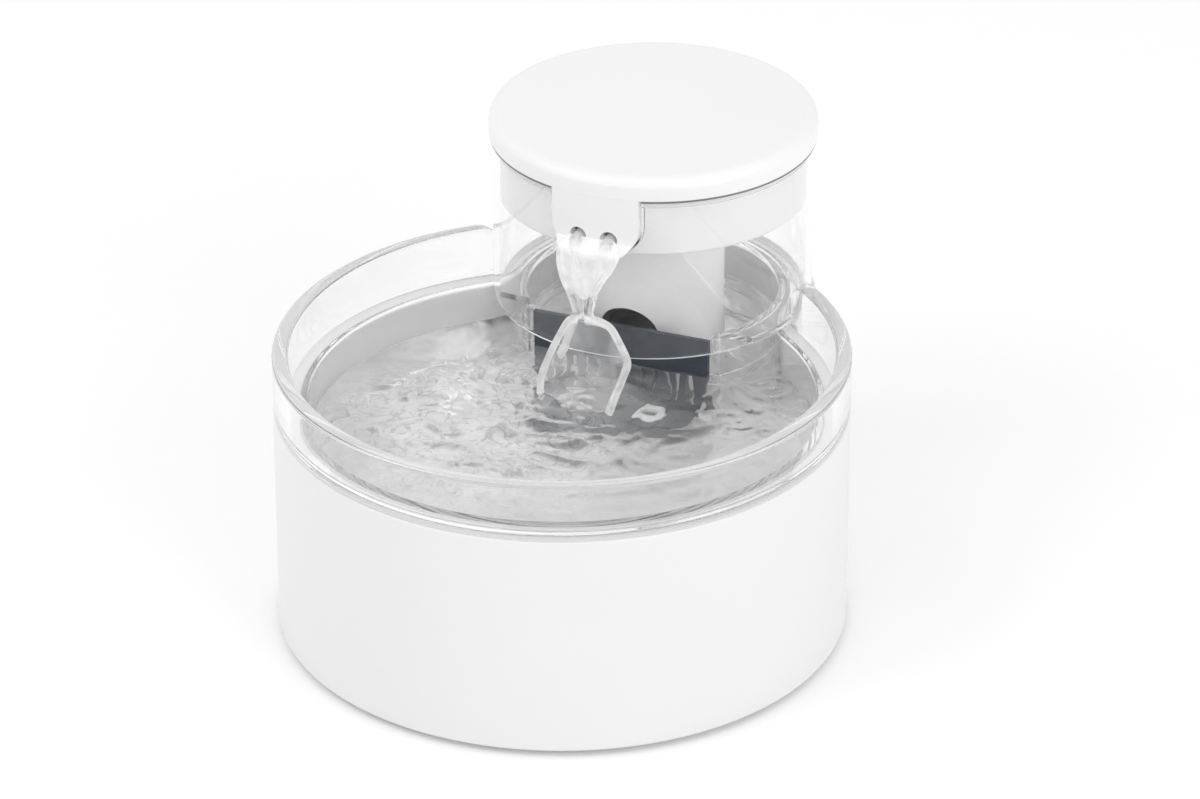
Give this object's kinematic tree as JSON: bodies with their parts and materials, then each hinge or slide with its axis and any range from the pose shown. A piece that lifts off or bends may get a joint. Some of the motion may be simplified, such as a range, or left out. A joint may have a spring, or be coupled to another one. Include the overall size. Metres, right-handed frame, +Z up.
{
  "type": "pet water fountain",
  "caption": "Round pet water fountain: a clear bowl in a white powered base, with a clear tower behind it whose lidded spout pours filtered water back into the bowl.",
  "frame": {"origin": "on the floor, under the middle of the whole outline", "axes": "+Z up; the bowl is at the front, towards -Y, and the tower stands behind it, towards +Y; +X to the right seen from the front"},
  "size_m": [0.23, 0.282, 0.18],
  "materials": {
    "white_plastic": "smooth white, softly glossy",
    "column_plastic": "smooth white",
    "carrier_plastic": "plain white",
    "clear_plastic": "clear, polished",
    "pump_plastic": "dark blue-grey, fine satin",
    "black_plastic": "black, satin",
    "dark_rubber": "matt dark grey",
    "grey_silicone": "soft grey",
    "pale_silicone": "soft milky white",
    "seam_grey": "soft dark grey",
    "motor_steel": "plated sheet",
    "core_steel": "laminated",
    "screw_steel": "plated",
    "shaft_steel": "ground",
    "nickel_magnet": "nickel plated",
    "dark_magnet": "ferrite grey",
    "copper_wire": "enamelled copper",
    "bronze": "sintered bronze",
    "board_green": "solder mask green",
    "red_wire": "wire cover",
    "grey_wire": "wire cover",
    "ceramic": "fine ceramic",
    "carbon": "granules",
    "foam": "open foam"
  },
  "bodies": {
    "base": {"base_housing": "white_plastic", "bottom_plate": "white_plastic", "rubber_feet": "dark_rubber", "case_screws": "screw_steel", "bowl_seal": "grey_silicone", "motor_can": "motor_steel", "motor_end_cap": "black_plastic", "stator_core": "core_steel", "stator_coils": "copper_wire", "motor_bushes": "bronze", "motor_bracket": "motor_steel", "motor_screws": "screw_steel", "circuit_board": "board_green", "board_screws": "screw_steel", "power_jack": "black_plastic", "jack_nut": "screw_steel", "supply_wires": "red_wire", "motor_wires": "grey_wire"},
    "drive_rotor": {"motor_shaft": "shaft_steel", "rotor_magnet": "dark_magnet", "magnet_carrier": "carrier_plastic", "drive_magnets": "nickel_magnet"},
    "bowl": {"bowl": "clear_plastic", "impeller_pin": "shaft_steel", "pump_housing": "pump_plastic", "eye_plate": "pump_plastic", "strainer": "pump_plastic", "suction_cups": "pale_silicone"},
    "impeller": {"impeller": "carrier_plastic", "impeller_magnet": "dark_magnet", "impeller_bush": "ceramic"},
    "tower": {"tower_shell": "clear_plastic", "column": "column_plastic", "riser_tube": "pale_silicone", "riser_seal": "grey_silicone", "water_tray": "column_plastic", "filter_frame": "carrier_plastic", "filter_carbon": "carbon", "filter_foam": "foam", "filter_cover": "carrier_plastic"},
    "lid": {"lid_cap": "white_plastic", "lid_seal": "seam_grey"}
  },
  "joints": [
    {"name": "drive_spin", "type": "hinge", "parent": "base", "child": "drive_rotor", "pos_m": [0, 0.074, 0.02], "axis": [0, 0, 1], "continuous": true},
    {"name": "bowl_lift", "type": "slide", "parent": "base", "child": "bowl", "axis": [0, 0, 1], "range_m": [0, 0.07]},
    {"name": "impeller_spin", "type": "hinge", "parent": "bowl", "child": "impeller", "pos_m": [0, 0.074, 0.05], "axis": [0, 0, 1], "continuous": true},
    {"name": "tower_lift", "type": "slide", "parent": "bowl", "child": "tower", "axis": [0, 0, 1], "range_m": [0, 0.1]},
    {"name": "lid_lift", "type": "slide", "parent": "tower", "child": "lid", "axis": [0, 0, 1], "range_m": [0, 0.05]}
  ],
  "couplings": [
    {"joint": "impeller_spin", "follows": "drive_spin", "ratio": 1}
  ]
}
